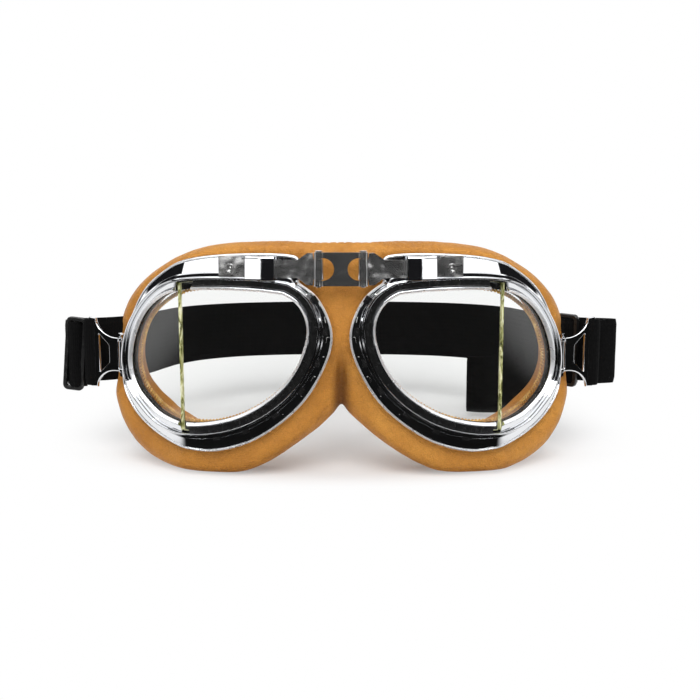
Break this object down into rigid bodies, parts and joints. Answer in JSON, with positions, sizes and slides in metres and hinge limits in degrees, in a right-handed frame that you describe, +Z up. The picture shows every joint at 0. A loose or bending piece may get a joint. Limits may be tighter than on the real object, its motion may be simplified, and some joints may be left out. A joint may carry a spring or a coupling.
{
  "type": "motorcycle goggles",
  "caption": "Split lens riding goggles: chrome frames on a hinged nose bridge, leather face pads, swivelling strap clips and an elastic head strap.",
  "frame": {"origin": "middle of the footprint, on the surface that the goggles stand on", "axes": "+X to the viewer's right when facing the lenses, +Y from the lenses towards the back of the head strap, +Z up"},
  "size_m": [0.2409, 0.163, 0.0957],
  "materials": {
    "chrome": "polished chrome plate",
    "dark_steel": "black oxide, satin",
    "bridge_steel": "scuffed nickel plated steel",
    "glass": "clear polished glass with ground edges",
    "leather": "tan fine grained leather, semi matt",
    "foam": "open cell foam",
    "thread": "golden brown waxed thread",
    "webbing": "black elastic webbing",
    "black_metal": "black coated wire and plate"
  },
  "bodies": {
    "bridge": {"bridge_link": "bridge_steel", "hinge_pin_left": "bridge_steel", "hinge_pin_right": "bridge_steel", "nose_pad": "leather", "strap_rear": "webbing", "strap_tail": "webbing"},
    "arm_left": {"bridge_arm_left": "bridge_steel"},
    "frame_left": {"frame_shell_left": "chrome", "lens_seat_left": "dark_steel", "front_rim_left": "chrome", "side_rim_left": "chrome", "front_lens_left": "glass", "side_lens_left": "glass", "rim_tabs_left": "dark_steel", "bridge_sleeve_left": "chrome", "pad_leather_left": "leather", "pad_foam_left": "foam", "lens_stitching_left": "thread", "clip_bar_left": "chrome"},
    "clip_left": {"strap_clip_left": "chrome", "strap_slider_left": "black_metal", "strap_loop_left": "webbing", "strap_side_left": "webbing"},
    "arm_right": {"bridge_arm_right": "bridge_steel"},
    "frame_right": {"frame_shell_right": "chrome", "lens_seat_right": "dark_steel", "front_rim_right": "chrome", "side_rim_right": "chrome", "front_lens_right": "glass", "side_lens_right": "glass", "rim_tabs_right": "dark_steel", "bridge_sleeve_right": "chrome", "pad_leather_right": "leather", "pad_foam_right": "foam", "lens_stitching_right": "thread", "clip_bar_right": "chrome"},
    "clip_right": {"strap_clip_right": "chrome", "strap_slider_right": "black_metal", "strap_loop_right": "webbing", "strap_side_right": "webbing"}
  },
  "joints": [
    {"name": "bridge_hinge_left", "type": "hinge", "parent": "bridge", "child": "arm_left", "pos_m": [-0.0085, -0.07955, 0.0864], "axis": [0, 0, -1], "range_deg": [-12, 10], "deforming": ["nose_pad", "strap_side_left"]},
    {"name": "arm_slide_left", "type": "slide", "parent": "arm_left", "child": "frame_left", "axis": [-0.9903, 0.1392, 0], "range_m": [-0.0015, 0.0015], "deforming": ["nose_pad", "strap_side_left"]},
    {"name": "clip_swivel_left", "type": "hinge", "parent": "frame_left", "child": "clip_left", "pos_m": [-0.0932, -0.03995, 0.046], "axis": [0, 0, -1], "range_deg": [-30, 6], "deforming": ["strap_side_left"]},
    {"name": "bridge_hinge_right", "type": "hinge", "parent": "bridge", "child": "arm_right", "pos_m": [0.0085, -0.07955, 0.0864], "axis": [0, 0, 1], "range_deg": [-12, 10], "deforming": ["nose_pad", "strap_side_right", "strap_tail"]},
    {"name": "arm_slide_right", "type": "slide", "parent": "arm_right", "child": "frame_right", "axis": [0.9903, 0.1392, 0], "range_m": [-0.0015, 0.0015], "deforming": ["nose_pad", "strap_side_right", "strap_tail"]},
    {"name": "clip_swivel_right", "type": "hinge", "parent": "frame_right", "child": "clip_right", "pos_m": [0.0932, -0.03995, 0.046], "axis": [0, 0, 1], "range_deg": [-30, 6], "deforming": ["strap_side_right", "strap_tail"]}
  ]
}
